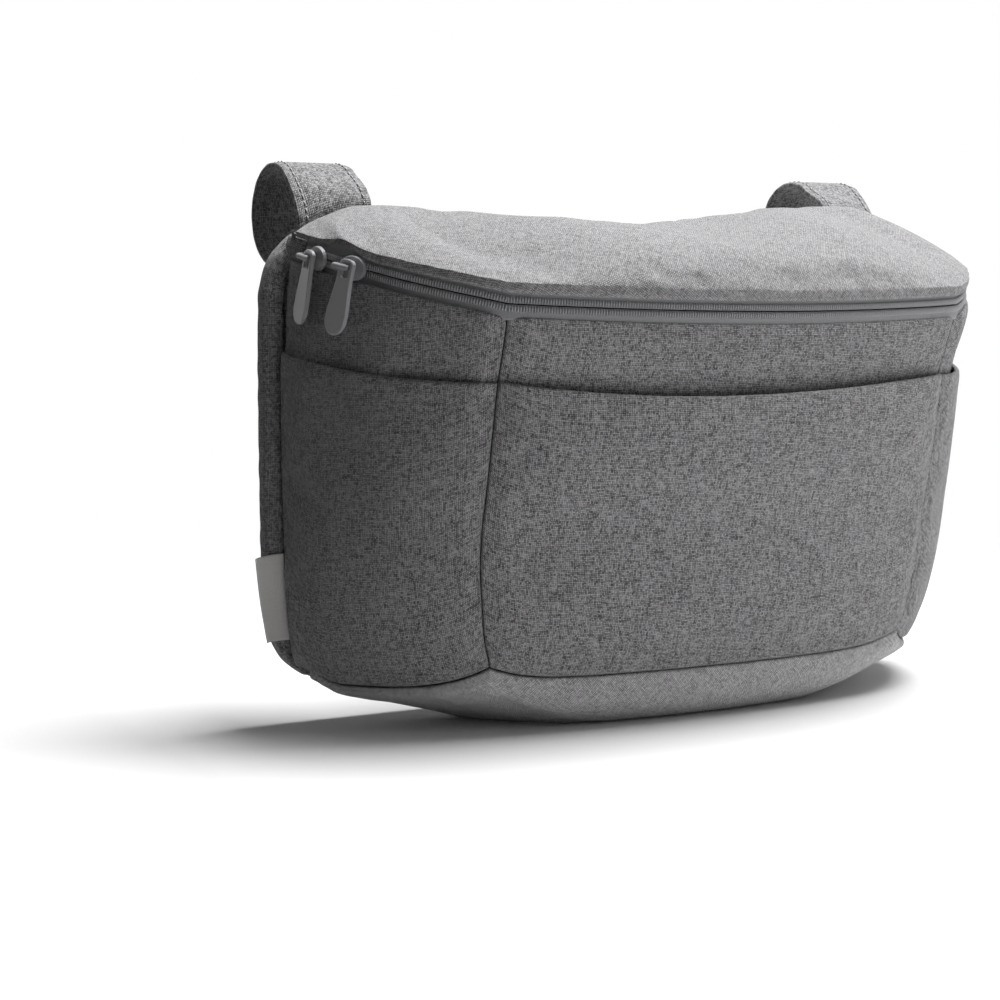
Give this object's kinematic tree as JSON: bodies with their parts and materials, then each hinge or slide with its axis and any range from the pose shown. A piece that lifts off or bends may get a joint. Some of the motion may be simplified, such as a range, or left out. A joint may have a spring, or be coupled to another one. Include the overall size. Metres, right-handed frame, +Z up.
{
  "type": "stroller organizer",
  "caption": "Soft padded organizer bag with a zipped lid, front and side slip pockets and strap loops on its back for hanging from a round bar.",
  "frame": {"origin": "centre of the base's flat underside", "axes": "+Z up, front faces -Y, +X to the right as seen from the front; the back panel stands upright at +Y"},
  "size_m": [0.3417, 0.1606, 0.2263],
  "materials": {
    "body_fabric": "grey melange woven polyester",
    "base_fabric": "grey melange woven polyester, padded base",
    "lid_fabric": "grey melange woven polyester, padded lid",
    "strap_fabric": "grey melange woven polyester, cut on the bias",
    "lining_fabric": "dark plain-woven polyester lining",
    "zip_tape": "smooth herringbone zip tape",
    "zip_coil": "grey nylon coil",
    "zip_metal": "satin grey paint on cast zinc",
    "hook_and_loop": "dark hook-and-loop tape",
    "woven_label": "bare white woven label"
  },
  "bodies": {
    "bag": {"back_panel": "body_fabric", "base_panel": "base_fabric", "front_panel": "body_fabric", "front_pocket": "body_fabric", "left_back_binding": "strap_fabric", "left_hook_patch": "hook_and_loop", "left_loop_patch": "hook_and_loop", "left_side_panel": "body_fabric", "left_side_pocket": "body_fabric", "left_strap": "strap_fabric", "left_zip_end_patch": "strap_fabric", "lid_panel": "lid_fabric", "lining": "lining_fabric", "right_back_binding": "strap_fabric", "right_hook_patch": "hook_and_loop", "right_loop_patch": "hook_and_loop", "right_side_panel": "body_fabric", "right_side_pocket": "body_fabric", "right_strap": "strap_fabric", "right_zip_end_patch": "strap_fabric", "side_label": "woven_label", "zip_coil_lower": "zip_coil", "zip_coil_upper": "zip_coil", "zip_tape_lower": "zip_tape", "zip_tape_upper": "zip_tape"},
    "front_slider": {"zip_slider_front": "zip_metal"},
    "front_pull": {"zip_pull_front": "zip_metal"},
    "rear_slider": {"zip_slider_rear": "zip_metal"},
    "rear_pull": {"zip_pull_rear": "zip_metal"}
  },
  "joints": [
    {"name": "front_slider_slide", "type": "slide", "parent": "bag", "child": "front_slider", "axis": [0.5608, -0.7987, -0.2183], "range_m": [-0.002, 0.002]},
    {"name": "front_pull_swing", "type": "hinge", "parent": "front_slider", "child": "front_pull", "pos_m": [-0.15418, -0.01229, 0.18072], "axis": [-0.5608, 0.7987, 0.2183], "range_deg": [0, 150]},
    {"name": "rear_slider_slide", "type": "slide", "parent": "bag", "child": "rear_slider", "axis": [0.135, -0.9669, -0.2167], "range_m": [-0.003, 0.003]},
    {"name": "rear_pull_swing", "type": "hinge", "parent": "rear_slider", "child": "rear_pull", "pos_m": [-0.16094, 0.00834, 0.18492], "axis": [-0.135, 0.9669, 0.2167], "range_deg": [0, 150]}
  ]
}
